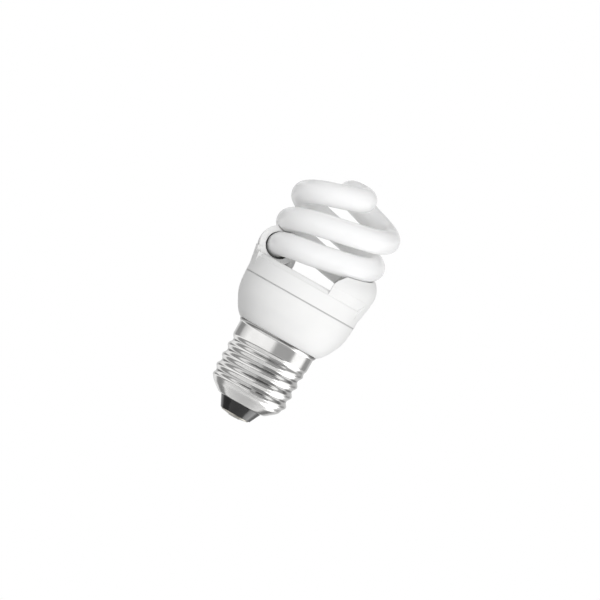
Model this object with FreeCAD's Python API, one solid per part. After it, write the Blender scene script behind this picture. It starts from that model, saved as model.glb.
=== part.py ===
# Spiral energy saving bulb: a double helix glass tube on a plastic ballast housing with a screw cap.
# Millimetres. The origin is the centre of the cap's bottom contact, and +Z runs up the lamp's axis.
# Strand A leaves its sleeve at the -X side towards -Y. Strand B is strand A turned by half a turn.
import FreeCAD, Part
import math
import os

os.makedirs("parts", exist_ok=True)
Vector = FreeCAD.Vector
CENTRE = Vector(0, 0, 0)
UP = Vector(0, 0, 1)

# Screw cap with its 27 mm thread
thread_radius = 13.05
thread_depth = 1.05
thread_pitch = 3.629
thread_length = 15.2
thread_start = 0.95
thread_fade = 1.4
thread_sectors = 16
profile_step = 0.6
shell_wall = 0.3
shell_lip_radius = 7.15
shell_lip_width = 0.9
shell_cone_rise = 2.55
shell_shoulder_inset = 1.75
shell_shoulder_rise = 2.3
shell_skirt_length = 4.5
shell_flare_width = 0.55
shell_flare_height = 0.8
lip_bend = 0.4
cone_bend = 2.0
shoulder_bend = 1.2
flare_bend = 0.35
insulator_clearance = 0.1
insulator_height = 3.75
insulator_foot_radius = 5.2
insulator_top_inset = 0.7
insulator_bore_radius = 1.5
contact_radius = 4.75
contact_crown = 0.8
contact_wall = 0.35
contact_bend = 0.3
contact_rim_bend = 0.2
eyelet_wall = 0.25
solder_radius = 1.9
solder_height = 0.2
solder_edge = 0.15

# Ballast housing
housing_depth = 13.8
housing_wall = 1.3
housing_top_radius = 19.3
housing_bottom_step = 0.2
cup_shares = ((0.0, 0.0), (0.15, 0.36), (0.33, 0.62), (0.5, 0.82), (0.7, 0.94), (1.0, 1.0))
shell_seat_gap = 0.1
neck_clearance = 0.13
neck_wall = 1.2
neck_thread_gap = 0.4
spigot_clearance = 0.25
spigot_wall = 1.1
spigot_height = 2.6
snap_bead = 0.2
snap_bead_height = 0.8
snap_clearance = 0.1
rib_count = 4
rib_width = 1.2
rib_reach = 1.4
rib_height = 6.0
wire_groove_width = 0.9
wire_groove_depth = 0.85

# Tube cover with its two sleeves
cover_wall = 1.2
seam_step = 0.05
seam_chamfer = 0.2
band_height = 5.3
deck_rise = 1.6
shoulder_rounding = 1.5
shoulder_step = 0.35
sleeve_ring_inset = 5.05
sleeve_outer_radius = 6.3
sleeve_bore_radius = 4.35
bore_drop = 0.4
saddle_clearance = 0.2
foot_rise = 1.7
foot_overlap = 0.1
sleeve_end_offset = 6.9
sleeve_end_depth = 3.9
sleeve_end_rise = 2.9
sleeve_end_slope = 52.0
sleeve_end_rounding = 4.0
sleeve_start_angle = 75.0
sleeve_mouth_angle = 15.0
flare_rise = 1.6
flare_angle = 23.0
slot_half_width = 2.9
slot_near_angle = 4.0
cement_near_angle = 4.5
cement_far_angle = 12.0
glass_clearance = 0.05

# Discharge tube
tube_radius = 3.85
mouth_rise = 4.3
helix_widening = 0.9
helix_pitch = 19.6
ease_angle = 90.0
ease_rise = 3.5
inward_start_angle = 360.0
inward_sweep_angle = 147.0
inward_power = 2.2
bridge_rise = 8.1
station_angle = 15.0
tube_end_angle = 15.0
exhaust_tip_radius = 0.9
exhaust_tip_length = 1.5

# Circuit board and its parts
board_rise = 0.6
board_clearance = 0.1
board_thickness = 1.4
leg_radius = 0.3
leg_clearance = 0.15
leg_stub = 0.9
pin_width = 0.8
pin_height = 3.0
pin_clearance = 0.05
pin_collar_radius = 0.95
pin_collar_height = 0.4
wrap_height = 1.8
lead_radius = 0.25
lead_bend = 0.6
lead_drop = 1.0
electrode_spacing = 2.6
electrode_reach = 1.6
capacitor_radius = 5.0
capacitor_length = 16.0
capacitor_leg_spacing = 5.0
crimp_height = 2.0
crimp_depth = 0.5
choke_width = 13.0
choke_depth = 6.0
choke_plate = 2.0
choke_side_leg = 2.0
choke_middle_leg = 3.2
choke_window_height = 7.0
choke_reach = 5.2
bobbin_wall = 0.6
bobbin_clearance = 0.1
choke_pin_inset = 0.9
winding_margin = 0.35
winding_rounding = 0.9
drum_radius = 2.2
drum_waist_radius = 1.1
drum_height = 7.0
drum_flange = 1.0
toroid_outer_radius = 4.2
toroid_inner_radius = 2.2
toroid_height = 3.2
toroid_wire_radius = 0.22
toroid_wire_gap = 0.05
toroid_turns = 9
toroid_turn_angle = 32.0
transistor_radius = 2.4
transistor_height = 4.8
transistor_flat = 1.2
transistor_standoff = 2.5
transistor_leg_spacing = 1.27
diode_radius = 1.35
diode_length = 5.2
resistor_radius = 1.15
resistor_length = 6.2
diac_radius = 0.9
diac_length = 4.0
return_gap = 0.6
film_length = 7.2
film_thickness = 3.4
film_height = 6.4
film_rounding = 0.8
film_leg_spacing = 5.0
disc_radius = 2.4
disc_thickness = 1.8
disc_rounding = 0.6
disc_leg_spacing = 2.5
disc_standoff = 0.5
body_rounding = 0.35
fuse_rise = 4.4
fuse_radius = 1.6
fuse_length = 8.0
fuse_lead_length = 2.0
wire_radius = 0.65
wire_core_radius = 0.35
wire_strip_length = 0.8
shell_wire_drop = 0.7
shell_wire_bend = 0.6
shell_wire_gap = 0.1
shell_wire_inset = 0.27
shell_wire_angle = 205.0

# Places of the parts on the board, seen from above
capacitor_place = (-6.0, 0.0)
choke_place = (7.5, 0.0)
drum_place = (2.2, -8.9)
toroid_place = (-6.5, -10.0)
transistor_places = {"transistor_a": (1.6, 12.6), "transistor_b": (5.0, -13.0)}
diode_column = -13.4
diode_spacing = 3.4
resistor_places = {
    "resistor_1": (-12.8, -8.4, 120.0),
    "resistor_2": (2.9, 8.6, 180.0),
    "resistor_3": (-1.2, 8.9, 90.0),
}
diac_place = (-1.5, -7.0, 90.0)
film_places = {"resonant_capacitor": (-7.4, 7.3), "blocking_capacitor": (8.1, 9.7)}
disc_place = (14.2, 0.0)
pin_places = ((12.4, 124.0), (14.9, 136.0))

# Heights up the axis, each worked out from the piece below it
insulator_foot_height = solder_height + contact_crown
shell_lip_height = insulator_foot_height + insulator_height
shell_shoulder_height = shell_lip_height + shell_cone_rise
shoulder_top_height = shell_shoulder_height + shell_shoulder_rise
insulator_top_height = shell_shoulder_height - insulator_top_inset
thread_bottom_height = shoulder_top_height - thread_fade
thread_crest_height = shoulder_top_height - thread_start
thread_top_height = thread_bottom_height + thread_length
skirt_top_height = thread_top_height + shell_skirt_length
neck_bottom_height = thread_top_height + neck_thread_gap
housing_bottom_height = skirt_top_height + shell_flare_height + shell_seat_gap
seam_height = housing_bottom_height + housing_depth
board_ledge_height = seam_height + board_rise
band_top_height = seam_height + band_height
deck_height = band_top_height + deck_rise
deck_underside = deck_height - cover_wall
foot_top_height = deck_height + foot_rise
mouth_height = deck_height + mouth_rise
flare_bottom_height = seam_height + flare_rise
fuse_height = insulator_top_height + fuse_rise

# Radii, each worked out from the piece that it seats in
shell_lip_outer_radius = shell_lip_radius + shell_lip_width
shell_shoulder_radius = thread_radius - shell_shoulder_inset
shell_flare_radius = thread_radius + shell_flare_width
neck_radius = thread_radius - shell_wall - neck_clearance
housing_bottom_radius = shell_flare_radius + housing_bottom_step
band_radius = housing_top_radius + seam_step
crease_radius = band_radius - shoulder_step
spigot_radius = band_radius - cover_wall - spigot_clearance
board_radius = spigot_radius - spigot_wall - board_clearance
sleeve_ring_radius = band_radius - sleeve_ring_inset
helix_radius = sleeve_ring_radius + helix_widening
shell_wire_place = neck_radius - neck_wall - wire_core_radius - shell_wire_inset

board_top_height = board_ledge_height + board_thickness
leg_top_height = board_top_height + leg_stub
leg_holes = []


def around(radius, angle, height):
    """Point at a radius and an angle in degrees about the lamp's axis."""
    turn = math.radians(angle)
    return Vector(radius * math.cos(turn), radius * math.sin(turn), height)


def half_turn(shape):
    """The same shape for the other strand."""
    turned_copy = shape.copy()
    turned_copy.rotate(CENTRE, UP, 180)
    return turned_copy


def rounded_edges(corners, closed):
    """Lines through corners (point, rounding), with a tangent arc at each rounded corner."""
    edges = []
    count = len(corners)
    starts = []
    ends = []
    for i, (point, rounding) in enumerate(corners):
        open_end = not closed and i in (0, count - 1)
        if rounding <= 0 or open_end:
            starts.append(point)
            ends.append(point)
            continue
        back = (corners[i - 1][0] - point).normalize()
        ahead = (corners[(i + 1) % count][0] - point).normalize()
        half_angle = back.getAngle(ahead) / 2
        middle = (back + ahead).normalize()
        reach = rounding / math.tan(half_angle)
        hub = point + middle * (rounding / math.sin(half_angle))
        starts.append(point + back * reach)
        ends.append(point + ahead * reach)
        edges.append((i, Part.Arc(starts[i], hub - middle * rounding, ends[i]).toShape()))
    arcs = dict(edges)
    path = []
    for i in range(count):
        if i in arcs:
            path.append(arcs[i])
        if not closed and i == count - 1:
            break
        following = (i + 1) % count
        if ends[i].distanceToPoint(starts[following]) > 1e-6:
            path.append(Part.LineSegment(ends[i], starts[following]).toShape())
    return path


def outline(*corners):
    """Closed face in the XZ half plane from corners (radius, height) or (radius, height, rounding)."""
    placed = [(Vector(c[0], 0, c[1]), c[2] if len(c) > 2 else 0) for c in corners]
    return Part.Face(Part.Wire(rounded_edges(placed, True)))


def turned(face, start=0.0, sweep=360.0):
    """Solid of revolution about the lamp's axis, from a start angle."""
    section = face.copy()
    section.rotate(CENTRE, UP, start)
    return section.revolve(CENTRE, UP, sweep)


def rod(x, y, bottom, top, radius):
    """Upright round rod."""
    return Part.makeCylinder(radius, top - bottom, Vector(x, y, bottom))


def block(x, y, bottom, length, width, height):
    """Box centred on a place, standing on a height."""
    corner = Vector(x - length / 2, y - width / 2, bottom)
    return Part.makeBox(length, width, height, corner)


def bent_wire(points, radius, bend):
    """Round wire along points, with a bend of one radius at each inner point."""
    path = Part.Wire(rounded_edges([(p, bend) for p in points], False))
    start = Part.Circle(points[0], points[1] - points[0], radius)
    return path.makePipeShell([Part.Wire(start.toShape())], True, False)


def leg(x, y, bottom, radius=leg_radius):
    """Leg that goes up through the board, which gets a hole for it."""
    leg_holes.append((x, y, radius + leg_clearance))
    return rod(x, y, bottom, leg_top_height, radius)


def fused(shapes):
    """One solid from touching shapes, with the seams between them removed."""
    return shapes[0].multiFuse(shapes[1:]).removeSplitter()


def save(name, shape):
    """Write one node."""
    if shape.ShapeType == "Compound" and len(shape.Solids) == 1:
        shape = shape.Solids[0]
    shape.exportStep("parts/" + name + ".step")
    print(name, len(shape.Solids), shape.isValid(), round(shape.Volume, 1), len(shape.Faces))


# Glass tube: both strands and the bridge between them are one blown tube, filled here as one solid
def strand_height(angle):
    """Height of strand A at an angle past its mouth: a helix that flattens over its first quarter."""
    slope = helix_pitch / 360
    if angle <= 0:
        return mouth_height + slope * angle
    if angle >= ease_angle:
        return mouth_height + ease_rise + slope * (angle - ease_angle)
    share = angle / ease_angle
    bend = share * (1 - share) * (1 - 2 * share)
    return mouth_height + ease_rise * share * share * (3 - 2 * share) + slope * ease_angle * bend


def strand_radius(angle):
    """Radius of the strand: the sleeve's ring, opening smoothly to the helix."""
    share = min(max(angle / ease_angle, 0.0), 1.0)
    blend = share * share * (3 - 2 * share)
    return sleeve_ring_radius + (helix_radius - sleeve_ring_radius) * blend


def strand_points(first_angle, last_angle, drop=0.0):
    """Corners round strand A between two angles, lowered by a drop."""
    outside = 1 / math.cos(math.radians(station_angle / 2))
    points = []
    for i in range(round(first_angle / station_angle), round(last_angle / station_angle) + 1):
        angle = i * station_angle
        radius = strand_radius(angle) * outside
        points.append(around(radius, 180 + angle, strand_height(angle) - drop))
    return points


def bridge_points():
    """Corners of the strand where it turns inwards and climbs to the top of the bridge."""
    start_height = strand_height(inward_start_angle)
    helix_slope = helix_pitch / 360 * inward_sweep_angle
    outside = 1 / math.cos(math.radians(station_angle / 2))
    steps = round(inward_sweep_angle / station_angle)
    points = []
    for i in range(1, steps + 1):
        share = i / steps
        radius = helix_radius * (1 - share ** inward_power) * outside
        start_part = share * (1 - share) ** 2
        end_part = share * share * (3 - 2 * share)
        rise = helix_slope * start_part + bridge_rise * end_part
        angle = 180 + inward_start_angle + share * inward_sweep_angle
        points.append(around(radius, angle, start_height + rise))
    return points


def arc_path(points):
    """Smooth path of tangent arcs that touch the middle of each run between the points."""
    corners = []
    for i, point in enumerate(points):
        rounding = 0
        if 0 < i < len(points) - 1:
            run_in = point - points[i - 1]
            run_out = points[i + 1] - point
            half_turn_angle = run_in.getAngle(run_out) / 2
            if half_turn_angle > 1e-6:
                rounding = min(run_in.Length, run_out.Length) / 2 / math.tan(half_turn_angle)
        corners.append((point, rounding))
    return Part.Wire(rounded_edges(corners, False))


def pipe(points, radius):
    """Round bar along a path of tangent arcs."""
    start = Part.Circle(points[0], points[1] - points[0], radius)
    return arc_path(points).makePipeShell([Part.Wire(start.toShape())], True, False)


def discharge_tube():
    """One tube along strand A, over the bridge and down strand B, with a tip at each sealed end."""
    strand_a = strand_points(-tube_end_angle, inward_start_angle) + bridge_points()
    points = strand_a + [Vector(-p.x, -p.y, p.z) for p in reversed(strand_a[:-1])]
    body = pipe(points, tube_radius)
    print("tube length", round(arc_path(points).Length, 1))
    backwards = (points[0] - points[1]).normalize()
    tip = Part.makeCylinder(exhaust_tip_radius, exhaust_tip_length, points[0], backwards)
    return fused([body, tip, half_turn(tip)])


# Tube cover: one moulding of band, deck and two sleeves, each a thick pipe that follows the strand
def beyond_end(inset):
    """Space past the sleeve's end, for strand A: an upright wall that slopes back above."""
    slope = math.radians(sleeve_end_slope)
    wall = -sleeve_end_offset - inset
    corner = deck_height + sleeve_end_rise + inset * math.tan(slope) - inset / math.cos(slope)
    size = 2 * band_radius
    top = corner + size * math.tan(slope)
    side = outline((wall, 0), (wall, corner, sleeve_end_rounding - inset), (wall - size, top), (size, top), (size, 0))
    side.translate(Vector(0, sleeve_end_depth + inset, 0))
    return side.extrude(Vector(0, size, 0))


def sleeve_body():
    """Outside of the sleeve of strand A: its foot stands behind the band's crease, and at the lamp's side
    it flares down over the band."""
    outer_edge = sleeve_ring_radius + sleeve_outer_radius - foot_overlap
    inner_edge = sleeve_ring_radius - sleeve_outer_radius + foot_overlap
    band_edge = band_radius - foot_overlap
    inside = band_radius - cover_wall
    start = 180 - sleeve_start_angle
    foot = outline((inner_edge, deck_underside), (inner_edge, foot_top_height), (outer_edge, foot_top_height),
                   (crease_radius, band_top_height), (inside, band_top_height), (inside, deck_underside))
    undercut = outline((crease_radius, flare_bottom_height), (crease_radius, band_top_height),
                       (outer_edge, foot_top_height), (2 * band_radius, foot_top_height),
                       (2 * band_radius, flare_bottom_height))
    flare = outline((inside, flare_bottom_height), (band_edge, flare_bottom_height),
                    (outer_edge, foot_top_height), (inside, foot_top_height))
    lean = (outer_edge - band_edge) / (foot_top_height - flare_bottom_height)
    toe_edge = band_edge + lean * (deck_height - flare_bottom_height)
    toe = outline((inside, flare_bottom_height), (band_edge, flare_bottom_height),
                  (toe_edge, deck_height), (inside, deck_height))
    body = pipe(strand_points(-sleeve_start_angle, sleeve_mouth_angle, bore_drop), sleeve_outer_radius)
    body = body.cut(turned(undercut, start - station_angle, sleeve_start_angle + station_angle - flare_angle))
    side = turned(flare, 180 - flare_angle, flare_angle + sleeve_mouth_angle)
    front = turned(toe, 180, flare_angle)
    body = fused([body, turned(foot, start, sleeve_start_angle + sleeve_mouth_angle), side, front])
    return body.cut(beyond_end(0)).removeSplitter()


def sleeve_cavity():
    """Inside of the sleeve of strand A: the bore, and the slot through the deck below it."""
    bore = pipe(strand_points(-sleeve_start_angle, 2 * sleeve_mouth_angle, bore_drop), sleeve_bore_radius)
    slot = outline((sleeve_ring_radius - slot_half_width, deck_underside - 1),
                   (sleeve_ring_radius + slot_half_width, deck_underside - 1),
                   (sleeve_ring_radius + slot_half_width, foot_top_height),
                   (sleeve_ring_radius - slot_half_width, foot_top_height))
    slot_solid = turned(slot, 180 - sleeve_start_angle, sleeve_start_angle - slot_near_angle)
    return bore.fuse(slot_solid).cut(beyond_end(cover_wall))


def saddle():
    """Room for strand B where it passes over the sleeve of strand A."""
    points = strand_points(180 - sleeve_start_angle - station_angle, 180 + 3 * station_angle)
    return half_turn(pipe(points, tube_radius + saddle_clearance))


def tube_cover():
    """Band with a rounded shoulder, a flat deck, the sleeves, and ribs that hold the board down."""
    inside = band_radius - cover_wall
    groove_low = seam_height + snap_bead_height
    groove_high = groove_low + snap_bead_height
    groove = inside + snap_bead
    outer = outline((0, seam_height), (band_radius - seam_chamfer, seam_height),
                    (band_radius, seam_height + seam_chamfer), (band_radius, band_top_height),
                    (band_radius - shoulder_step, band_top_height + shoulder_step),
                    (band_radius - shoulder_step, deck_height, shoulder_rounding), (0, deck_height))
    inner = outline((0, seam_height), (inside, seam_height), (inside, groove_low),
                    (groove, groove_low + snap_bead), (groove, groove_high - snap_bead),
                    (inside, groove_high), (inside, deck_underside, cover_wall / 2), (0, deck_underside))
    sleeve = sleeve_body()
    cavity = sleeve_cavity()
    body = fused([turned(outer), sleeve, half_turn(sleeve)])
    groove_b = saddle()
    body = body.cut(turned(inner)).cut(cavity).cut(half_turn(cavity))
    body = body.cut(groove_b).cut(half_turn(groove_b))
    rib_inner = board_radius - rib_reach
    rib = outline((rib_inner, board_top_height), (board_radius - leg_clearance, board_top_height),
                  (board_radius - leg_clearance, deck_underside + cover_wall / 2),
                  (rib_inner, deck_underside + cover_wall / 2))
    return fused([body] + rib_ring(rib))


def rib_ring(section):
    """Ribs of one width spread evenly round the axis, from their section."""
    ribs = []
    for i in range(rib_count):
        rib = section.copy()
        rib.translate(Vector(0, -rib_width / 2, 0))
        rib = rib.extrude(Vector(0, rib_width, 0))
        rib.rotate(CENTRE, UP, i * 360 / rib_count)
        ribs.append(rib)
    return ribs


# Ballast housing: a moulded cup with a neck for the cap, a spigot for the cover and ledges for the board
def cup_curve(offset):
    """Side of the cup as a curve through shares of its depth and of its widening, moved inwards by a wall."""
    depth = seam_height - housing_bottom_height
    reach = housing_top_radius - housing_bottom_radius
    points = []
    for rise, widening in cup_shares:
        radius = housing_bottom_radius + reach * widening - offset
        points.append(Vector(radius, 0, housing_bottom_height + depth * rise))
    curve = Part.BSplineCurve()
    curve.interpolate(points)
    return curve.toShape()


def ballast_housing():
    """Hollow cup, open at both ends, with its neck in the cap's skirt."""
    side = cup_curve(0)
    bottom = side.Vertexes[0].Point
    top = side.Vertexes[-1].Point
    spigot_top = seam_height + spigot_height
    spigot_inner = spigot_radius - spigot_wall
    bead_low = seam_height + snap_bead_height + snap_clearance
    bead_mid = bead_low + snap_bead
    bead_high = bead_mid + snap_bead
    neck_inner = neck_radius - neck_wall
    inner_side = cup_curve(housing_wall)
    inner_bottom = inner_side.Vertexes[0].Point
    inner_top = inner_side.Vertexes[-1].Point
    rim = [
        (top.x - seam_chamfer, seam_height), (spigot_radius, seam_height), (spigot_radius, bead_low),
        (spigot_radius + snap_bead, bead_mid), (spigot_radius, bead_high), (spigot_radius, spigot_top),
        (spigot_inner, spigot_top), (spigot_inner, seam_height), (inner_top.x, seam_height - spigot_wall),
    ]
    neck = [
        (neck_inner, housing_bottom_height), (neck_inner, neck_bottom_height),
        (neck_radius, neck_bottom_height), (neck_radius, housing_bottom_height),
    ]
    upper = [top] + [Vector(r, 0, z) for r, z in rim]
    lower = [inner_bottom] + [Vector(r, 0, z) for r, z in neck] + [bottom]
    upper[-1] = inner_top
    edges = [side, inner_side]
    for chain in (upper, lower):
        edges.extend(Part.LineSegment(chain[i], chain[i + 1]).toShape() for i in range(len(chain) - 1))
    body = turned(Part.Face(Part.Wire(Part.sortEdges(edges)[0])))
    ledge_inner = board_radius - rib_reach
    ledge_outer = spigot_radius - spigot_wall / 2
    ledge = outline((ledge_inner, board_ledge_height - rib_height), (ledge_outer, board_ledge_height - rib_height),
                    (ledge_outer, board_ledge_height), (ledge_inner, board_ledge_height))
    body = fused([body] + rib_ring(ledge))
    groove = block(neck_radius, 0, neck_bottom_height, 2 * wire_groove_depth, wire_groove_width,
                   skirt_top_height - neck_bottom_height)
    groove.rotate(CENTRE, UP, shell_wire_angle)
    return body.cut(groove)


# Cement that holds each tube end in its sleeve, poured through the slot from inside
def tube_cement():
    """Cement of strand A: it fills the bore and the slot round a stretch of the tube."""
    filled = pipe(strand_points(-sleeve_start_angle, station_angle, bore_drop), sleeve_bore_radius)
    plug = outline((sleeve_ring_radius - slot_half_width, deck_underside),
                   (sleeve_ring_radius + slot_half_width, deck_underside),
                   (sleeve_ring_radius + slot_half_width, foot_top_height),
                   (sleeve_ring_radius - slot_half_width, foot_top_height))
    stretch = outline((0, deck_underside), (2 * sleeve_ring_radius, deck_underside),
                      (2 * sleeve_ring_radius, 2 * deck_height), (0, 2 * deck_height))
    sweep = cement_far_angle - cement_near_angle
    window = turned(stretch, 180 - cement_far_angle, sweep)
    tube = pipe(strand_points(-tube_end_angle, 2 * station_angle), tube_radius + glass_clearance)
    body = filled.fuse(turned(plug, 180 - cement_far_angle, sweep)).common(window)
    return body.cut(tube).removeSplitter()


# Screw cap: a pressed shell with a rolled thread, a glass insulator, and the centre contact
def shell_profile():
    """Outside of the shell without its thread, as evenly spaced points with their outward normals."""
    corners = [
        (shell_lip_radius, shell_lip_height, 0), (shell_lip_outer_radius, shell_lip_height, lip_bend),
        (shell_shoulder_radius, shell_shoulder_height, cone_bend),
        (thread_radius, shoulder_top_height, shoulder_bend),
        (thread_radius, skirt_top_height, flare_bend),
        (shell_flare_radius, skirt_top_height + shell_flare_height / 4, shell_wall),
        (shell_flare_radius, skirt_top_height + shell_flare_height, 0),
    ]
    edges = rounded_edges([(Vector(r, 0, z), rounding) for r, z, rounding in corners], False)
    path = Part.Wire(edges)
    count = round(path.Length / profile_step)
    points = path.discretize(Number=count + 1)
    samples = []
    for i, point in enumerate(points):
        ahead = points[min(i + 1, count)] - points[max(i - 1, 0)]
        samples.append((point, Vector(ahead.z, 0, -ahead.x).normalize()))
    return samples


def thread_cut(angle, height):
    """Depth of the thread below its crest: a cosine wave that fades out at both ends."""
    low = min(max((height - thread_bottom_height) / thread_fade, 0.0), 1.0)
    high = min(max((thread_top_height - height) / thread_fade, 0.0), 1.0)
    turns = (height - thread_crest_height) / thread_pitch - (angle - 180) / 360
    return thread_depth * min(low, high) * (1 - math.cos(2 * math.pi * turns)) / 2


def shell_surface(inset):
    """Smooth surface round the shell, moved inwards along its normals by an inset."""
    sector = 2 * math.pi / thread_sectors
    pole_factor = 3 / (2 + math.cos(sector))
    poles = []
    for point, normal in shell_profile():
        row = []
        for i in range(thread_sectors):
            angle = i * 360 / thread_sectors
            radius = point.x - thread_cut(angle, point.z) - normal.x * inset
            row.append(around(radius * pole_factor, angle, point.z - normal.z * inset))
        poles.append(row)
    spans = len(poles) - 3
    surface = Part.BSplineSurface()
    surface.buildFromPolesMultsKnots(
        poles, [4] + [1] * (spans - 1) + [4], [1] * (thread_sectors + 1),
        list(range(spans + 1)), list(range(thread_sectors + 1)), False, True, 3, 3)
    return surface.toShape()


def cap_shell():
    """Pressed shell as one sheet of constant wall, closed at both edges."""
    outer = shell_surface(0)
    inner = shell_surface(shell_wall)
    faces = [outer, inner]
    for at_top in (False, True):
        ends = []
        for face in (outer, inner):
            closed = [e for e in face.Edges if e.isClosed()]
            closed.sort(key=lambda e: e.CenterOfMass.z)
            ends.append(closed[-1] if at_top else closed[0])
        faces.append(Part.makeRuledSurface(ends[0], ends[1]))
    skin = Part.makeShell(faces)
    skin.sewShape()
    body = Part.makeSolid(skin)
    if body.Volume < 0:
        body.reverse()
    return body


def cap_insulator():
    """Black glass between the shell and the contact."""
    gap = insulator_clearance
    lip = shell_lip_radius - gap
    floor = shell_lip_height + shell_wall + gap
    slope = (shell_shoulder_height - shell_lip_height) / (shell_shoulder_radius - shell_lip_outer_radius)
    lift = (shell_wall + 2 * gap) * math.hypot(1, slope)
    cone_start = shell_lip_outer_radius + (floor - shell_lip_height - lift) / slope
    cone_end = cone_start + (insulator_top_height - floor) / slope
    return turned(outline(
        (insulator_bore_radius, insulator_foot_height), (insulator_foot_radius, insulator_foot_height),
        (lip, shell_lip_height - gap), (lip, floor), (cone_start, floor),
        (cone_end, insulator_top_height), (insulator_bore_radius, insulator_top_height)))


def cap_contact():
    """Dished contact under the glass, with the eyelet that goes up through it."""
    bore = insulator_bore_radius - eyelet_wall
    flat = solder_radius + contact_wall
    base = insulator_foot_height - contact_crown
    seat = insulator_foot_height
    inner = insulator_bore_radius - insulator_clearance
    rivet = insulator_top_height + eyelet_wall
    return turned(outline(
        (bore - eyelet_wall, base), (flat, base, contact_bend), (contact_radius, seat - contact_wall, contact_rim_bend),
        (contact_radius, seat), (inner, seat), (inner, rivet), (bore - eyelet_wall, rivet)))


def contact_solder():
    """Flat solder button under the eyelet, round the end of the fuse's lead."""
    base = insulator_foot_height - contact_crown
    button = outline((0, 0), (solder_radius - solder_edge, 0), (solder_radius, solder_edge), (solder_radius, base),
                     (0, base))
    hole = rod(0, 0, base / 2, base + 1, wire_core_radius)
    return turned(button).cut(hole)


# Circuit board, drilled for every leg, pin and wire that goes through it
def circuit_board():
    """Round board on the housing's ledges, under the cover's ribs."""
    board = rod(0, 0, board_ledge_height, board_top_height, board_radius)
    holes = [rod(x, y, board_ledge_height - 1, board_top_height + 1, size) for x, y, size in leg_holes]
    return board.cut(Part.makeCompound(holes))


def pin_places_of(strand):
    """Places of the two wrap pins of a strand, 0 for A and 1 for B."""
    return [around(radius, angle + 180 * strand, 0) for radius, angle in pin_places]


def wrap_pin(place):
    """Square pin pressed into the board from above, with a collar."""
    leg_holes.append((place.x, place.y, pin_width / math.sqrt(2) + pin_clearance))
    collar = rod(place.x, place.y, board_top_height, board_top_height + pin_collar_height, pin_collar_radius)
    height = board_thickness + pin_height
    return fused([block(place.x, place.y, board_ledge_height, pin_width, pin_width, height), collar])


def electrode_lead(side):
    """Wire of strand A, from the tube's end through the slot to a turn round its pin."""
    end, following = strand_points(-tube_end_angle, station_angle - tube_end_angle)
    backwards = (end - following).normalize()
    sideways = UP.cross(backwards).normalize()
    start = end + sideways * (side * electrode_spacing / 2)
    corner = start + backwards * electrode_reach
    wrap_top = board_top_height + wrap_height
    foot = Vector(corner.x, corner.y, wrap_top)
    pin = pin_places_of(0)[(side + 1) // 2]
    pin.z = wrap_top
    wrap = pin_width / math.sqrt(2) + pin_clearance + lead_radius
    away = foot - pin
    turn = math.degrees(math.atan2(away.y, away.x) + math.acos(wrap / away.Length))
    ring = Part.makeTorus(wrap, lead_radius, pin, UP)
    wire = bent_wire([start, corner, foot, pin + around(wrap, turn, 0)], lead_radius, lead_bend)
    return fused([wire, ring])


# Round parts that hang from the board's underside on legs that end above it
def round_body(x, y, bottom, top, radius, rounding=body_rounding):
    """Upright round body with rounded rims."""
    body = turned(outline((0, bottom), (radius, bottom, rounding), (radius, top, rounding), (0, top)))
    body.translate(Vector(x, y, 0))
    return body


def standing_part(place, radius, length):
    """Part on end: one lead straight up, the other bent back up beside the body."""
    x, y, direction = place
    low = board_ledge_height - length
    beside = around(radius + return_gap, direction, 0)
    under = Vector(x, y, low - lead_drop)
    corner = under + beside
    top = Vector(corner.x, corner.y, leg_top_height)
    leg_holes.append((corner.x, corner.y, lead_radius + leg_clearance))
    back = bent_wire([Vector(x, y, low), under, corner, top], lead_radius, lead_bend)
    body = round_body(x, y, low, board_ledge_height, radius)
    return fused([body, leg(x, y, board_ledge_height, lead_radius), back])


def bulk_capacitor():
    """Electrolytic can with a crimped neck at the board's end."""
    x, y = capacitor_place
    crimp = board_ledge_height - crimp_height
    bottom = board_ledge_height - capacitor_length
    section = outline(
        (0, bottom), (capacitor_radius, bottom, crimp_depth), (capacitor_radius, crimp - crimp_depth, crimp_depth / 2),
        (capacitor_radius - crimp_depth, crimp, crimp_depth / 2),
        (capacitor_radius, crimp + crimp_depth, crimp_depth / 2),
        (capacitor_radius, board_ledge_height, crimp_depth), (0, board_ledge_height))
    can = turned(section)
    can.translate(Vector(x, y, 0))
    reach = capacitor_leg_spacing / 2
    return fused([can, leg(x, y - reach, board_ledge_height), leg(x, y + reach, board_ledge_height)])


def drum_core():
    """Ferrite drum of the filter choke, with its two pins."""
    x, y = drum_place
    bottom = board_ledge_height - drum_height
    core = turned(outline(
        (0, bottom), (drum_radius, bottom), (drum_radius, bottom + drum_flange),
        (drum_waist_radius, bottom + drum_flange), (drum_waist_radius, board_ledge_height - drum_flange),
        (drum_radius, board_ledge_height - drum_flange), (drum_radius, board_ledge_height),
        (0, board_ledge_height)))
    core.translate(Vector(x, y, 0))
    reach = (drum_radius + drum_waist_radius) / 2
    return fused([core, leg(x - reach, y, board_ledge_height), leg(x + reach, y, board_ledge_height)])


def drum_winding():
    """Winding between the drum's flanges."""
    x, y = drum_place
    bottom = board_ledge_height - drum_height + drum_flange
    top = board_ledge_height - drum_flange
    winding = turned(outline((drum_waist_radius, bottom), (drum_radius - winding_margin, bottom),
                             (drum_radius - winding_margin, top), (drum_waist_radius, top)))
    winding.translate(Vector(x, y, 0))
    return winding


def transistor(place):
    """Moulded body with one flat side, on three legs."""
    x, y = place
    top = board_ledge_height - transistor_standoff
    bottom = top - transistor_height
    body = rod(x, y, bottom, top, transistor_radius)
    flat = block(x, y - transistor_flat - transistor_radius, bottom, 2 * transistor_radius,
                 2 * transistor_radius, transistor_height)
    legs = [leg(x + i * transistor_leg_spacing, y, top, lead_radius) for i in (-1, 0, 1)]
    return fused([body.cut(flat)] + legs)


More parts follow.
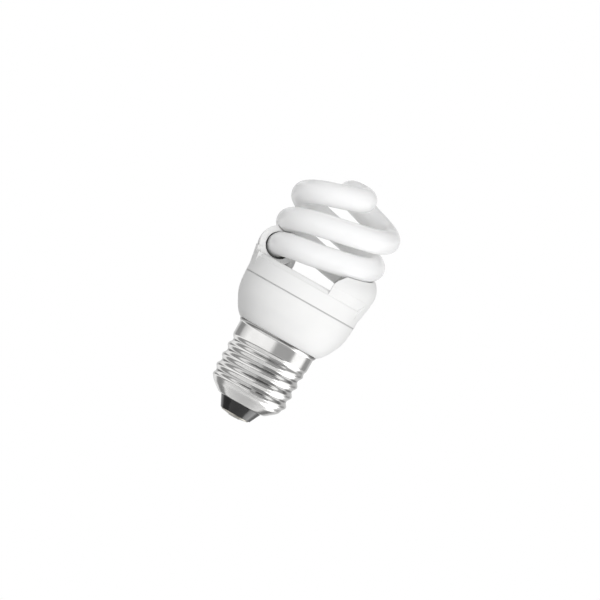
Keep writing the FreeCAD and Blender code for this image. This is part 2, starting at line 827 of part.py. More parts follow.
def film_capacitor(place):
    """Dipped block with rounded corners."""
    x, y = place
    bottom = board_ledge_height - film_height
    body = block(x, y, bottom, film_length, film_thickness, film_height)
    upright = [e for e in body.Edges if abs(e.tangentAt(e.FirstParameter).z) > 0.9]
    body = body.makeFillet(film_rounding, upright)
    reach = film_leg_spacing / 2
    return fused([body, leg(x - reach, y, board_ledge_height), leg(x + reach, y, board_ledge_height)])


def snubber_capacitor():
    """Ceramic disc on edge."""
    x, y = disc_place
    middle = board_ledge_height - disc_standoff - disc_radius
    body = Part.makeCylinder(disc_radius, disc_thickness, Vector(x - disc_thickness / 2, y, middle), Vector(1, 0, 0))
    body = body.makeFillet(disc_rounding, [e for e in body.Edges if e.isClosed()])
    reach = disc_leg_spacing / 2
    return fused([body, leg(x, y - reach, middle, lead_radius), leg(x, y + reach, middle, lead_radius)])


# Resonant choke: two ferrite halves through a bobbin
def choke_core(upward):
    """One half of the core: a plate with three legs that meet the other half's at mid height."""
    x, y = choke_place
    height = choke_plate + choke_window_height / 2
    outer = (choke_width - choke_side_leg) / 2
    middle = board_ledge_height - choke_plate - choke_window_height / 2
    plate_bottom = board_ledge_height - choke_plate if upward else middle - height
    leg_bottom = middle if upward else middle - height
    shapes = [block(x, y, plate_bottom, choke_depth, choke_width, choke_plate)]
    for offset, width in ((-outer, choke_side_leg), (0, choke_middle_leg), (outer, choke_side_leg)):
        shapes.append(block(x, y + offset, leg_bottom, choke_depth, width, height))
    return fused(shapes)


def choke_bobbin():
    """Bobbin with a square bore, two flanges and a rail of pins at each end of the upper flange."""
    x, y = choke_place
    top = board_ledge_height - choke_plate
    bottom = top - choke_window_height
    depth = choke_depth + 2 * bobbin_clearance
    width = choke_middle_leg + 2 * bobbin_clearance
    flange_width = choke_width - 2 * choke_side_leg - 2 * bobbin_clearance
    tube = block(x, y, bottom, depth + 2 * bobbin_wall, width + 2 * bobbin_wall, choke_window_height)
    shapes = [tube, block(x, y, bottom, 2 * choke_reach, flange_width, bobbin_wall)]
    rail_height = choke_plate + bobbin_wall
    shapes.append(block(x, y, top - bobbin_wall, 2 * choke_reach, flange_width, rail_height))
    body = fused(shapes)
    body = body.cut(block(x, y, bottom - 1, depth, width, choke_window_height + 2))
    body = body.cut(block(x, y, top, depth, choke_width, choke_plate))
    reach_x = choke_reach - choke_pin_inset
    reach_y = flange_width / 2 - choke_pin_inset
    legs = []
    for side in (-1, 1):
        for end in (-1, 1):
            legs.append(leg(x + side * reach_x, y + end * reach_y, board_ledge_height))
    return fused([body] + legs)


def choke_winding():
    """Winding that fills the bobbin between its flanges, with rounded corners."""
    x, y = choke_place
    bottom = board_ledge_height - choke_plate - choke_window_height + bobbin_wall
    height = choke_window_height - 2 * bobbin_wall
    flange_width = choke_width - 2 * choke_side_leg - 2 * bobbin_clearance
    body = block(x, y, bottom, 2 * (choke_reach - winding_margin), flange_width - 2 * winding_margin, height)
    upright = [e for e in body.Edges if abs(e.tangentAt(e.FirstParameter).z) > 0.9]
    body = body.makeFillet(winding_rounding, upright)
    bore = block(x, y, bottom, choke_depth + 2 * (bobbin_clearance + bobbin_wall),
                 choke_middle_leg + 2 * (bobbin_clearance + bobbin_wall), height)
    return body.cut(bore)


# Drive transformer: a ferrite ring wound with one wire
def drive_toroid():
    """Ferrite ring, held off the board by its wire."""
    x, y = toroid_place
    top = board_ledge_height - 2 * toroid_wire_radius - toroid_wire_gap
    bottom = top - toroid_height
    ring = rod(x, y, bottom, top, toroid_outer_radius)
    return ring.cut(rod(x, y, bottom, top, toroid_inner_radius))


def toroid_winding():
    """Wire wound through the ring, from a leg outside it to a leg in its hole."""
    gap = toroid_wire_radius + toroid_wire_gap
    outer = toroid_outer_radius + gap
    inner = toroid_inner_radius - gap
    high = board_ledge_height - toroid_wire_radius
    low = high - toroid_height - 2 * gap
    centre = Vector(toroid_place[0], toroid_place[1], 0)
    points = [centre + around(outer, 0, leg_top_height)]
    for i in range(toroid_turns):
        angle = i * toroid_turn_angle
        half_step = angle + toroid_turn_angle / 2
        points.append(centre + around(outer, angle, low))
        points.append(centre + around(inner, half_step, low))
        if i < toroid_turns - 1:
            points.append(centre + around(inner, half_step, high))
            points.append(centre + around(outer, angle + toroid_turn_angle, high))
    last = points[-1]
    points.append(Vector(last.x, last.y, leg_top_height))
    for end in (points[0], points[-1]):
        leg_holes.append((end.x, end.y, toroid_wire_radius + leg_clearance))
    return bent_wire(points, toroid_wire_radius, gap)


# Wires between the cap and the board
def fuse_resistor():
    """Fusible resistor on the axis, with its lower lead through the eyelet to the solder."""
    top = fuse_height + fuse_length
    body = round_body(0, 0, fuse_height, top, fuse_radius)
    lower = rod(0, 0, (insulator_foot_height - contact_crown) / 2, fuse_height, wire_core_radius)
    return fused([body, lower, rod(0, 0, top, top + fuse_lead_length, wire_core_radius)])


def live_wire():
    """Insulated wire from the fuse up to the board."""
    start = fuse_height + fuse_length + fuse_lead_length
    strip = board_ledge_height - wire_strip_length
    leg_holes.append((0, 0, wire_core_radius + leg_clearance))
    return fused([rod(0, 0, start, strip, wire_radius), rod(0, 0, strip, leg_top_height, wire_core_radius)])


def shell_wire():
    """Bare wire from the shell, under the neck's lower edge and up to the board."""
    outside = thread_radius - shell_wall - wire_core_radius - shell_wire_gap
    turn_height = neck_bottom_height - wire_core_radius - shell_wire_gap
    places = ((outside, skirt_top_height - shell_wire_drop), (outside, turn_height), (shell_wire_place, turn_height),
              (shell_wire_place, leg_top_height))
    points = [around(radius, shell_wire_angle, height) for radius, height in places]
    leg_holes.append((points[-1].x, points[-1].y, wire_core_radius + leg_clearance))
    return bent_wire(points, wire_core_radius, shell_wire_bend)


# Every node, the board last because the other parts say where its holes go
cement = tube_cement()
leads = [electrode_lead(side) for side in (-1, 1)]
pins = [wrap_pin(place) for strand in (0, 1) for place in pin_places_of(strand)]
nodes = {
    "discharge_tube": discharge_tube(),
    "tube_cover": tube_cover(),
    "tube_cement_a": cement,
    "tube_cement_b": half_turn(cement),
    "electrode_lead_a_inner": leads[0],
    "electrode_lead_a_outer": leads[1],
    "electrode_lead_b_inner": half_turn(leads[0]),
    "electrode_lead_b_outer": half_turn(leads[1]),
    "ballast_housing": ballast_housing(),
    "cap_shell": cap_shell(),
    "cap_insulator": cap_insulator(),
    "cap_contact": cap_contact(),
    "contact_solder": contact_solder(),
    "fuse_resistor": fuse_resistor(),
    "live_wire": live_wire(),
    "shell_wire": shell_wire(),
    "choke_core_upper": choke_core(True),
    "choke_core_lower": choke_core(False),
    "choke_bobbin": choke_bobbin(),
    "choke_winding": choke_winding(),
    "bulk_capacitor": bulk_capacitor(),
    "filter_choke_core": drum_core(),
    "filter_choke_winding": drum_winding(),
    "drive_toroid": drive_toroid(),
    "toroid_winding": toroid_winding(),
    "snubber_capacitor": snubber_capacitor(),
    "trigger_diac": standing_part(diac_place, diac_radius, diac_length),
}
for i, pin in enumerate(pins):
    nodes["wrap_pin_" + str(i + 1)] = pin
for name, place in transistor_places.items():
    nodes[name] = transistor(place)
for name, place in film_places.items():
    nodes[name] = film_capacitor(place)
for name, place in resistor_places.items():
    nodes[name] = standing_part(place, resistor_radius, resistor_length)
for i in range(4):
    diode_place = (diode_column, (i - 1.5) * diode_spacing, 0.0)
    nodes["rectifier_diode_" + str(i + 1)] = standing_part(diode_place, diode_radius, diode_length)
nodes["circuit_board"] = circuit_board()
for name, shape in nodes.items():
    save(name, shape)
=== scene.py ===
import math
import bpy
import numpy as np
from mathutils import Matrix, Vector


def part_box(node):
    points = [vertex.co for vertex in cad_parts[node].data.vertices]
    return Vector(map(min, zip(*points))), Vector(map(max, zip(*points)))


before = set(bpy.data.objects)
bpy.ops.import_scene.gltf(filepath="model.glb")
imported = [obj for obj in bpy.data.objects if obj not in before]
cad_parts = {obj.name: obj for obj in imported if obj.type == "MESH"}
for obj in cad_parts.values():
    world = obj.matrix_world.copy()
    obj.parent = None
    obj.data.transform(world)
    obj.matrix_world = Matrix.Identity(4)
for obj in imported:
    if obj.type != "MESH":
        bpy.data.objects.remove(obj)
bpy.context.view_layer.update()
MM = 0.001


# Discharge tube: soda glass, blown as one pipe and wound into two strands with a bridge at the top.
# The phosphor inside makes it an even white that some light passes into and that scatters more of it at
# a slant. It was poured in and drained, so it is never quite equally thick, and the glass is polished.
def add_node(tree, kind, inputs=None, **settings):
    """New node with its settings, and a value or a link for each input that is given."""
    node = tree.nodes.new("ShaderNode" + kind)
    for setting, value in settings.items():
        setattr(node, setting, value)
    for socket, value in (inputs or {}).items():
        if isinstance(value, bpy.types.NodeSocket):
            tree.links.new(value, node.inputs[socket])
        else:
            node.inputs[socket].default_value = value
    return node


def calculate(tree, operation, *values):
    """Result of one Math node on numbers or sockets."""
    return add_node(tree, "Math", dict(enumerate(values)), operation=operation).outputs[0]


def mapped(tree, value, low, high, start=0.0, end=1.0):
    """Value mapped from low..high to start..end, and held at both ends."""
    limits = {"From Min": low, "From Max": high, "To Min": start, "To Max": end}
    return add_node(tree, "MapRange", {"Value": value, **limits}).outputs["Result"]


def new_group(name, inputs, outputs):
    """Node group with number sockets, and the nodes that bring them in and out."""
    group = bpy.data.node_groups.new(name, "ShaderNodeTree")
    for direction, sockets in (("INPUT", inputs), ("OUTPUT", outputs)):
        for socket in sockets:
            group.interface.new_socket(socket, in_out=direction, socket_type="NodeSocketFloat")
    return group, group.nodes.new("NodeGroupInput"), group.nodes.new("NodeGroupOutput")


def mottle_group():
    """Two cloudy values over a surface: wide soft patches and a fine grain, each by its size in metres."""
    group, given, made = new_group("mottle", ("Patch Size", "Grain Size"), ("Patches", "Grain"))
    place = add_node(group, "TexCoord").outputs["Object"]
    for size, value, detail in (("Patch Size", "Patches", 3.0), ("Grain Size", "Grain", 2.0)):
        per_metre = calculate(group, "DIVIDE", 1.0, given.outputs[size])
        cloud = add_node(group, "TexNoise", {"Vector": place, "Scale": per_metre, "Detail": detail})
        group.links.new(cloud.outputs["Fac"], made.inputs[value])
    return group


mottle = mottle_group()
patch_edges = (0.35, 0.65)
grain_edges = (0.3, 0.7)


def finish(name, colour, patch_colour, roughness, patch_size, grain_size, grain_height, metallic=0.0):
    """Material whose colour drifts in patches and whose gloss and relief follow a fine grain."""
    material = bpy.data.materials.new(name)
    material.use_nodes = True
    tree = material.node_tree
    clouds = add_node(tree, "Group", node_tree=mottle, name="mottle",
                      inputs={"Patch Size": patch_size, "Grain Size": grain_size}).outputs
    patches = mapped(tree, clouds["Patches"], *patch_edges)
    mix = add_node(tree, "Mix", name="colour", data_type="RGBA",
                   inputs={"Factor": patches, "A": (*colour, 1), "B": (*patch_colour, 1)})
    gloss = mapped(tree, clouds["Grain"], *grain_edges, *roughness)
    relief = add_node(tree, "Bump", name="relief",
                      inputs={"Height": clouds["Grain"], "Distance": grain_height, "Strength": 1.0})
    skin = tree.nodes["Principled BSDF"]
    tree.links.new(mix.outputs["Result"], skin.inputs["Base Color"])
    tree.links.new(gloss, skin.inputs["Roughness"])
    tree.links.new(relief.outputs["Normal"], skin.inputs["Normal"])
    skin.inputs["Metallic"].default_value = metallic
    return material


def set_shader(material, values):
    """Sets plain values on the material's shader."""
    for socket, value in values.items():
        material.node_tree.nodes["Principled BSDF"].inputs[socket].default_value = value


def dress(material, *node_names):
    """Gives CAD nodes their material."""
    for name in node_names:
        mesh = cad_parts[name].data
        mesh.materials.clear()
        mesh.materials.append(material)


opal = finish("opal_glass", colour=(0.985, 0.985, 0.98), patch_colour=(0.975, 0.975, 0.97),
              roughness=(0.10, 0.16), patch_size=14 * MM, grain_size=2.5 * MM, grain_height=0.01 * MM)
set_shader(opal, {"IOR": 1.5, "Subsurface Weight": 1.0, "Subsurface Radius": (1.0, 1.0, 0.97),
                  "Subsurface Scale": 8.0 * MM, "Sheen Weight": 0.4, "Sheen Roughness": 0.6})
dress(opal, "discharge_tube")


# Cover and housing: two thick walled mouldings in the same flame retardant white, satin from a finely
# spark eroded mould, with edges that are never quite sharp. They snap together at the seam, which is
# darker in a narrow band, and painted shade darkens the sleeves where they close in on the glass.
plastic = finish("white_moulding", colour=(0.865, 0.865, 0.86), patch_colour=(0.845, 0.845, 0.84),
                 roughness=(0.42, 0.54), patch_size=9 * MM, grain_size=0.22 * MM, grain_height=0.006 * MM)
set_shader(plastic, {"IOR": 1.49, "Subsurface Weight": 0.12, "Subsurface Radius": (1.0, 1.0, 0.95),
                     "Subsurface Scale": 0.8 * MM})
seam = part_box("tube_cover")[0].z
# A darker band at the seam's height, and painted shade in the tight corners above the seam:
seam_band_core = 0.14 * MM
seam_band_edge = 0.35 * MM
seam_band_shade = 0.72
corner_reach = 2.5 * MM
corner_openness = (0.05, 0.40)
corner_shade = 0.12
corners_start = seam + 1.0 * MM
corners_full = seam + 2.0 * MM
edge_radius = 0.45 * MM


def multiply_colour(tree, shade):
    """Multiplies a material's colour by a shade."""
    shaded = add_node(tree, "Mix", data_type="RGBA", blend_type="MULTIPLY",
                      inputs={"Factor": 1.0, "A": tree.nodes["colour"].outputs["Result"], "B": shade})
    tree.links.new(shaded.outputs["Result"], tree.nodes["Principled BSDF"].inputs["Base Color"])


def paint_seam_band_and_corner_shade(material):
    """Darker colour close to the seam's height, and painted shade in the tight corners above the seam."""
    tree = material.node_tree
    place = add_node(tree, "TexCoord").outputs["Object"]
    height = add_node(tree, "SeparateXYZ", {"Vector": place}).outputs["Z"]
    off_seam = calculate(tree, "ABSOLUTE", calculate(tree, "SUBTRACT", height, seam))
    band_at_seam = mapped(tree, off_seam, seam_band_core, seam_band_edge, seam_band_shade, 1.0)
    # Painted shade: ambient occlusion darkens the colour where surfaces close in, above the seam.
    openness = add_node(tree, "AmbientOcclusion", {"Distance": corner_reach}, samples=6).outputs["AO"]
    corners = mapped(tree, openness, *corner_openness, corner_shade, 1.0)
    below = mapped(tree, height, corners_start, corners_full, 1.0, 0.0)
    multiply_colour(tree, calculate(tree, "MULTIPLY", band_at_seam, calculate(tree, "MAXIMUM", corners, below)))


def soften_edges(material):
    """Rounds the edges in the shading, under the grain."""
    tree = material.node_tree
    rounded = add_node(tree, "Bevel", {"Radius": edge_radius}, samples=6)
    tree.links.new(rounded.outputs["Normal"], tree.nodes["relief"].inputs["Normal"])


paint_seam_band_and_corner_shade(plastic)
soften_edges(plastic)
dress(plastic, "tube_cover", "ballast_housing")


# Cement round the tube's ends: a dark grey filled resin, poured into the sleeves from inside and left
# as it sets, dull and slightly pitted.
cement = finish("sleeve_cement", colour=(0.16, 0.155, 0.15), patch_colour=(0.12, 0.115, 0.11),
                roughness=(0.75, 0.95), patch_size=3 * MM, grain_size=0.3 * MM, grain_height=0.05 * MM)
dress(cement, "tube_cement_a", "tube_cement_b")


# Cap shell: thin brass strip, drawn to a cup, rolled to the thread and nickel plated. The rollers
# leave fine lines that run round it; the thread's hollows and the rim at its top carry painted shade.
def ring_group():
    """Fine lines round the lamp's axis: noise over the height and the distance from the axis only."""
    group, given, made = new_group("rolled_lines", ("Line Size",), ("Lines", "Radius", "Height"))
    place = add_node(group, "TexCoord").outputs["Object"]
    split = add_node(group, "SeparateXYZ", {"Vector": place}).outputs
    flat = add_node(group, "CombineXYZ", {"X": split["X"], "Y": split["Y"]})
    radius = add_node(group, "VectorMath", {0: flat.outputs[0]}, operation="LENGTH").outputs["Value"]
    along = add_node(group, "CombineXYZ", {"X": radius, "Z": split["Z"]})
    per_metre = calculate(group, "DIVIDE", 1.0, given.outputs["Line Size"])
    lines = add_node(group, "TexNoise", {"Vector": along.outputs[0], "Scale": per_metre, "Detail": 3.0})
    for socket, value in (("Lines", lines.outputs["Fac"]), ("Radius", radius), ("Height", split["Z"])):
        group.links.new(value, made.inputs[socket])
    return group


rolled_lines = ring_group()
# Painted shade in the thread's root and on the rim at the shell's top:
root_radius = 12.0 * MM
shade_free_radius = 12.2 * MM
root_shade = 0.25
thread_foot = 9.0 * MM
foot_blend = 0.3 * MM
rim_bottom = 28.0 * MM
rim_blend = 0.15 * MM
rim_shade = 0.5
line_size = 0.12 * MM
line_share = 0.6


def roll_lines_and_paint_thread_shade(material):
    """Lines round the axis in the relief, and painted shade in the thread's root and on the rim above it."""
    tree = material.node_tree
    rings = add_node(tree, "Group", {"Line Size": line_size}, node_tree=rolled_lines).outputs
    # Painted shade: darker near the thread's root radius and above the rim's bottom, not on the cone.
    thread = mapped(tree, rings["Radius"], root_radius, shade_free_radius, root_shade, 1.0)
    cone = mapped(tree, rings["Height"], thread_foot - foot_blend, thread_foot, 1.0, 0.0)
    rim = mapped(tree, rings["Height"], rim_bottom - rim_blend, rim_bottom, 1.0, rim_shade)
    multiply_colour(tree, calculate(tree, "MULTIPLY", calculate(tree, "MAXIMUM", thread, cone), rim))
    grain = tree.nodes["mottle"].outputs["Grain"]
    height = calculate(tree, "MULTIPLY_ADD", rings["Lines"], line_share, grain)
    tree.links.new(height, tree.nodes["relief"].inputs["Height"])


nickel = finish("nickel_plate", colour=(0.80, 0.795, 0.785), patch_colour=(0.74, 0.735, 0.725),
                roughness=(0.13, 0.20), patch_size=5 * MM, grain_size=0.5 * MM, grain_height=0.0012 * MM,
                metallic=1.0)
roll_lines_and_paint_thread_shade(nickel)
dress(nickel, "cap_shell")


# Insulator: black lead glass, moulded hot into the shell and left with a fire polished skin that has
# faint ripples.
black_glass = finish("black_glass", colour=(0.005, 0.005, 0.0055), patch_colour=(0.009, 0.009, 0.0095),
                     roughness=(0.05, 0.11), patch_size=4 * MM, grain_size=1.4 * MM,
                     grain_height=0.02 * MM)
set_shader(black_glass, {"IOR": 1.5})
dress(black_glass, "cap_insulator")


# Contact and solder: a tinned brass eyelet dished over the glass, with a button of solder that closes
# it. The button is a little uneven, and flat where it was dipped and wiped.
tinned = finish("tinned_brass", colour=(0.60, 0.58, 0.53), patch_colour=(0.50, 0.48, 0.43),
                roughness=(0.28, 0.42), patch_size=1.6 * MM, grain_size=0.25 * MM, grain_height=0.02 * MM,
                metallic=1.0)
dress(tinned, "cap_contact")
solder = finish("solder", colour=(0.55, 0.55, 0.54), patch_colour=(0.42, 0.42, 0.42),
                roughness=(0.35, 0.55), patch_size=0.8 * MM, grain_size=0.12 * MM, grain_height=0.03 * MM,
                metallic=1.0)
dress(solder, "contact_solder")


# Board: brown paper laminate with its parts below and its legs ending above, each in a hole of its
# own. The wire wraps stand on square tinned pins.
laminate = finish("paper_laminate", colour=(0.36, 0.24, 0.11), patch_colour=(0.30, 0.19, 0.08),
                  roughness=(0.55, 0.70), patch_size=4 * MM, grain_size=0.2 * MM, grain_height=0.01 * MM)
dress(laminate, "circuit_board")
tinned_wire = finish("tinned_wire", colour=(0.62, 0.60, 0.56), patch_colour=(0.52, 0.50, 0.46),
                     roughness=(0.25, 0.40), patch_size=1.5 * MM, grain_size=0.2 * MM,
                     grain_height=0.004 * MM, metallic=1.0)
dress(tinned_wire, "electrode_lead_a_inner", "electrode_lead_a_outer", "electrode_lead_b_inner",
      "electrode_lead_b_outer", "wrap_pin_1", "wrap_pin_2", "wrap_pin_3", "wrap_pin_4", "shell_wire")


# Wound parts: sintered ferrite cores, black bobbin moulding and enamelled copper wire, with the turns
# of the two chokes side by side.
ferrite = finish("ferrite", colour=(0.060, 0.060, 0.064), patch_colour=(0.045, 0.045, 0.048),
                 roughness=(0.55, 0.75), patch_size=2 * MM, grain_size=0.15 * MM, grain_height=0.02 * MM)
dress(ferrite, "choke_core_upper", "choke_core_lower", "filter_choke_core", "drive_toroid")
bobbin = finish("bobbin_moulding", colour=(0.022, 0.022, 0.022), patch_colour=(0.03, 0.03, 0.03),
                roughness=(0.45, 0.6), patch_size=3 * MM, grain_size=0.2 * MM, grain_height=0.01 * MM)
dress(bobbin, "choke_bobbin")
copper = finish("enamelled_copper", colour=(0.60, 0.22, 0.07), patch_colour=(0.50, 0.17, 0.05),
                roughness=(0.20, 0.35), patch_size=2 * MM, grain_size=0.3 * MM, grain_height=0.01 * MM,
                metallic=1.0)
dress(copper, "toroid_winding")
winding = finish("copper_winding", colour=(0.58, 0.21, 0.07), patch_colour=(0.48, 0.16, 0.05),
                 roughness=(0.22, 0.38), patch_size=2 * MM, grain_size=0.3 * MM, grain_height=0.01 * MM,
                 metallic=1.0)
wire_size = 0.25 * MM
ridge_height = wire_size / 3
wave_repeat = 0.31416
ridge_wander = 0.4


def wind(material):
    """Ridges of one wire's width up the height: a wave's repeat at scale 1, divided by that width."""
    tree = material.node_tree
    place = add_node(tree, "TexCoord").outputs["Object"]
    turns = add_node(tree, "TexWave", bands_direction="Z", wave_profile="SIN",
                     inputs={"Vector": place, "Scale": wave_repeat / wire_size, "Distortion": ridge_wander})
    relief = tree.nodes["relief"]
    relief.inputs["Distance"].default_value = ridge_height
    tree.links.new(turns.outputs["Fac"], relief.inputs["Height"])


wind(winding)
dress(winding, "choke_winding", "filter_choke_winding")


# Capacitors: a can in a shrunk dark blue sleeve, two film blocks dipped in brown lacquer, and a
# ceramic disc dipped in blue.
sleeve = finish("shrunk_sleeve", colour=(0.012, 0.016, 0.07), patch_colour=(0.016, 0.02, 0.085),
                roughness=(0.22, 0.32), patch_size=5 * MM, grain_size=0.8 * MM, grain_height=0.01 * MM)
dress(sleeve, "bulk_capacitor")
dipped_brown = finish("brown_dip", colour=(0.21, 0.035, 0.014), patch_colour=(0.17, 0.028, 0.011),
                      roughness=(0.16, 0.3), patch_size=3 * MM, grain_size=0.9 * MM,
                      grain_height=0.04 * MM)
dress(dipped_brown, "resonant_capacitor", "blocking_capacitor")
dipped_blue = finish("blue_dip", colour=(0.03, 0.10, 0.32), patch_colour=(0.025, 0.085, 0.27),
                     roughness=(0.3, 0.5), patch_size=2 * MM, grain_size=0.4 * MM, grain_height=0.03 * MM)
dress(dipped_blue, "snubber_capacitor")


# Small parts: black moulded transistors and diodes, resistors in a beige enamel, the fusible resistor
# in a grey green cement coat, and the live wire in red insulation.
moulded_black = finish("black_moulding", colour=(0.018, 0.018, 0.019), patch_colour=(0.025, 0.025, 0.026),
                       roughness=(0.4, 0.55), patch_size=2 * MM, grain_size=0.15 * MM,
                       grain_height=0.01 * MM)
dress(moulded_black, "transistor_a", "transistor_b", "trigger_diac", "rectifier_diode_1",
      "rectifier_diode_2", "rectifier_diode_3", "rectifier_diode_4")
enamel = finish("beige_enamel", colour=(0.42, 0.28, 0.15), patch_colour=(0.37, 0.24, 0.12),
                roughness=(0.35, 0.5), patch_size=2 * MM, grain_size=0.3 * MM, grain_height=0.02 * MM)
dress(enamel, "resistor_1", "resistor_2", "resistor_3")
coat = finish("cement_coat", colour=(0.12, 0.17, 0.13), patch_colour=(0.10, 0.145, 0.11),
              roughness=(0.6, 0.8), patch_size=2 * MM, grain_size=0.25 * MM, grain_height=0.03 * MM)
dress(coat, "fuse_resistor")
wire_skin = finish("wire_insulation", colour=(0.42, 0.02, 0.015), patch_colour=(0.36, 0.017, 0.012),
                   roughness=(0.35, 0.45), patch_size=3 * MM, grain_size=0.4 * MM, grain_height=0.01 * MM)
dress(wire_skin, "live_wire")


# Floor: a round sheet of pale matt paper below the lamp. It takes the lamp's soft shadow and fades out
# towards its edge, so that it has no rim against the white backdrop.
def surface_object(name, points, material):
    """Mesh from rings of points (rings, points of a ring, 3): a face joins each two neighbours of two
    neighbouring rings, and each ring closes on itself."""
    index = np.arange(points.shape[0] * points.shape[1]).reshape(points.shape[:2])
    following = np.roll(index, -1, axis=1)
    faces = np.stack([index[:-1], following[:-1], following[1:], index[1:]], axis=-1)
    mesh = bpy.data.meshes.new(name)
    mesh.from_pydata(points.reshape(-1, 3).tolist(), [], faces.reshape(-1, 4).tolist())
    mesh.materials.append(material)
    piece = bpy.data.objects.new(name, mesh)
    bpy.context.scene.collection.objects.link(piece)
    return piece


def rings_of_points(radii, heights, turn):
    """One ring of points for each radius and height, at the angles of turn from the camera's side:
    (radius sin, -radius cos, height)."""
    radii, heights = radii[:, None], heights[:, None]
    return np.stack([radii * np.sin(turn), -radii * np.cos(turn), heights + 0 * turn], axis=-1)


floor_radius = 160 * MM
floor_centre_radius = 0.01 * MM
floor_drop = 130 * MM
floor_solid_radius = 30 * MM
floor_clear_radius = 144 * MM
floor_tone = 0.80
floor_ring_count = 12
floor_ring_points = 96

paper = bpy.data.materials.new("floor_paper")
paper.use_nodes = True
tree = paper.node_tree
tree.nodes.remove(tree.nodes["Principled BSDF"])
place = add_node(tree, "TexCoord").outputs["Object"]
flat = add_node(tree, "VectorMath", {0: place, 1: (1, 1, 0)}, operation="MULTIPLY").outputs[0]
from_middle = add_node(tree, "VectorMath", {0: flat}, operation="LENGTH").outputs["Value"]
fade = add_node(tree, "MapRange", interpolation_type="SMOOTHSTEP",
                inputs={"Value": from_middle, "From Min": floor_solid_radius, "From Max": floor_clear_radius})
matt = add_node(tree, "BsdfDiffuse", {"Color": (floor_tone, floor_tone, floor_tone, 1)})
clear = add_node(tree, "BsdfTransparent")
blend = add_node(tree, "MixShader", {"Fac": fade.outputs["Result"], 1: matt.outputs[0], 2: clear.outputs[0]})
tree.links.new(blend.outputs[0], tree.nodes["Material Output"].inputs["Surface"])

floor_rings = np.linspace(floor_centre_radius, floor_radius, floor_ring_count)
floor_turn = np.linspace(0, 2 * math.pi, floor_ring_points + 1)[:-1]
floor_heights = np.full(floor_rings.size, -floor_drop)
floor = surface_object("floor", rings_of_points(floor_rings, floor_heights, floor_turn), paper)


# Light tent: a round wall of cloth with a ceiling, lit from outside. The lamp's matt pieces are lit by
# the cloth, and its polished ones mirror the panels, slits and ceiling that stand before it. Bearings
# are degrees from the camera to the right, and levels are metres above the tent's middle.
tent_radius = 0.55
tent_bottom = -0.60
tent_shoulder = 1.04
tent_top = 1.10
tent_peak_radius = 1 * MM
tent_lift = 0.02
tent_columns = 360
tent_rows = 171
bearing = np.linspace(-180, 180, tent_columns + 1)[:-1]
level = np.linspace(tent_bottom, tent_top, tent_rows)


def round_the_tent(*steps):
    """Value at every bearing, straight between steps of (bearing, value)."""
    return np.interp(bearing, *zip(*steps))


def up_the_tent(*steps):
    """Value at every level, straight between steps of (level, value)."""
    return np.interp(level, *zip(*steps))[:, None]


plain_tone = 0.46
lit_top = 0.45
low_light = round_the_tent(
    (-180, 0.70), (-130, 0.05), (-60, 0.06), (-15, 0.85), (60, 0.92), (120, 0.75), (180, 0.70))
high_light = round_the_tent(
    (-180, 1.00), (-120, 1.20), (-60, 1.28), (-15, 1.15), (60, 0.92), (120, 0.78), (180, 1.00))
climb = up_the_tent((-0.10, 0), (0.18, 1))
lighting = low_light * (1 - climb) + high_light * climb
lighting = np.where(level[:, None] > lit_top, plain_tone, lighting)

middle_panels = round_the_tent(
    (-180, 0.75), (-150, 0.70), (-140, 0.32), (-116, 0.30), (-106, 0.70), (-80, 1.15), (-40, 1.15),
    (-4, 1.05), (8, 0.40), (62, 0.40), (70, 1.30), (106, 1.30), (116, 0.34), (140, 0.35), (150, 0.60),
    (180, 0.75))
outer_panels = round_the_tent(
    (-180, 0.80), (-104, 1.10), (-4, 1.10), (8, 0.55), (62, 0.50), (70, 1.30), (106, 1.30), (116, 0.50),
    (180, 0.70))
outer = up_the_tent((-0.16, 1), (-0.12, 0), (0.12, 0), (0.16, 1))
slits_and_ceiling = up_the_tent(
    (-0.56, 0.40), (-0.50, 0.30), (-0.32, 0.30), (-0.26, 1.0), (0.26, 1.0), (0.32, 0.30), (0.54, 0.30),
    (0.60, 1.0), (0.80, 0.8), (0.90, 0.12))
low_panel_strength = 4.2
low_panel = round_the_tent((50, 0), (84, 1), (116, 1), (150, 0)) * up_the_tent((-0.36, 1), (-0.22, 0))
mirrored = (middle_panels * (1 - outer) + outer_panels * outer) * slits_and_ceiling
mirrored = mirrored + low_panel_strength * low_panel

tent_cloth = bpy.data.materials.new("tent_cloth")
tent_cloth.use_nodes = True
tree = tent_cloth.node_tree
tree.nodes.remove(tree.nodes["Principled BSDF"])
ordinary = add_node(tree, "Attribute", attribute_name="lighting").outputs["Fac"]
in_a_mirror = add_node(tree, "Attribute", attribute_name="mirrored").outputs["Fac"]
glossy = add_node(tree, "LightPath").outputs["Is Glossy Ray"]
strength = add_node(tree, "Mix", {"Factor": glossy, "A": ordinary, "B": in_a_mirror}).outputs["Result"]
glow = add_node(tree, "Emission", {"Strength": strength})
tree.links.new(glow.outputs[0], tree.nodes["Material Output"].inputs["Surface"])

tent_radii = np.interp(level, (tent_shoulder, tent_top), (tent_radius, tent_peak_radius))
tent_points = rings_of_points(tent_radii, level + tent_lift, np.radians(bearing))
tent = surface_object("light_tent", tent_points, tent_cloth)
for name, values in (("lighting", lighting), ("mirrored", mirrored)):
    paint = tent.data.attributes.new(name, "FLOAT", "POINT")
    paint.data.foreach_set("value", values.ravel())
tent.visible_camera = False
tent.visible_shadow = False


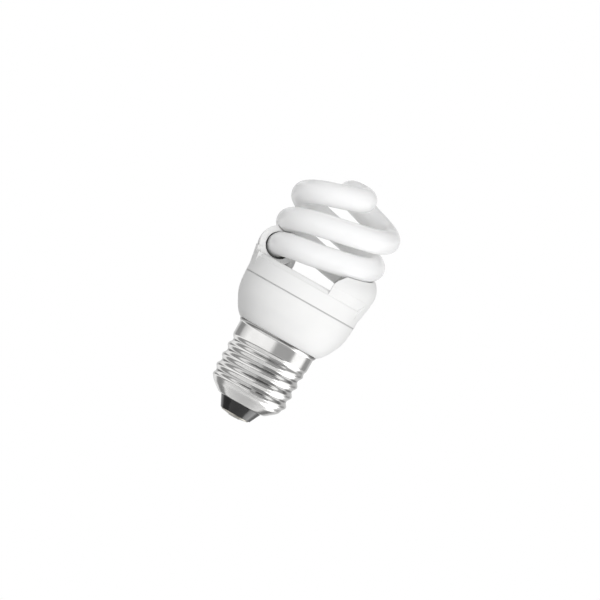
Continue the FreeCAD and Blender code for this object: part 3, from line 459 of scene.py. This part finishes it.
# Backdrop: white wherever it is looked at, straight, in a mirror or through something, and a plain
# grey as the light that comes from it.
world = bpy.data.worlds.new("white_backdrop")
bpy.context.scene.world = world
world.use_nodes = True
tree = world.node_tree
path = add_node(tree, "LightPath").outputs
looked_at = calculate(tree, "MAXIMUM", path["Is Camera Ray"], path["Is Glossy Ray"])
looked_at = calculate(tree, "MAXIMUM", looked_at, path["Is Transmission Ray"])
tone = add_node(tree, "Mix", data_type="RGBA",
                inputs={"Factor": looked_at, "A": (plain_tone, plain_tone, plain_tone, 1), "B": (1, 1, 1, 1)})
tree.links.new(tone.outputs["Result"], tree.nodes["Background"].inputs["Color"])


# Front box: a square soft light before the lamp and to its right, which fills the cover's right half.
# Polished pieces don't mirror it.
front_size = 0.35
front_power = 0.98
front_place = (0.22, -0.50, 0.04)
front_light = bpy.data.lights.new("front_box", "AREA")
front_light.shape = "RECTANGLE"
front_light.size = front_size
front_light.size_y = front_size
front_light.energy = front_power
front_box = bpy.data.objects.new("front_box", front_light)
front_box.visible_glossy = False
front_box.location = front_place
front_box.rotation_euler = (math.radians(90), 0, math.atan2(front_place[0], -front_place[1]))
bpy.context.scene.collection.objects.link(front_box)


# Camera: level with the lamp's seam and far away, turned so that the lamp leans as it does in the
# photograph. The axis at the seam falls on the middle of the picture, one pixel high of it.
lean = math.radians(29.4)
picture_pixels = 600
pixels_per_millimetre = 3.18
pixel = MM / pixels_per_millimetre
camera_distance = 1.5
camera_data = bpy.data.cameras.new("camera")
camera_data.sensor_width = 36
camera_data.lens = camera_data.sensor_width * camera_distance / (picture_pixels * pixel)
camera_data.clip_start = 0.05
camera_data.clip_end = 20
camera = bpy.data.objects.new("camera", camera_data)
across = np.array([math.cos(lean), 0, math.sin(lean)])
upwards = np.array([-math.sin(lean), 0, math.cos(lean)])
backwards = np.array([0, -1, 0])
camera_place = np.array([0, 0, seam]) - upwards * pixel + backwards * camera_distance
turned = Matrix(np.column_stack([across, upwards, backwards]).tolist())
camera.matrix_world = Matrix.Translation(camera_place.tolist()) @ turned.to_4x4()
bpy.context.scene.collection.objects.link(camera)
bpy.context.scene.camera = camera
bpy.context.scene.view_settings.view_transform = "Standard"
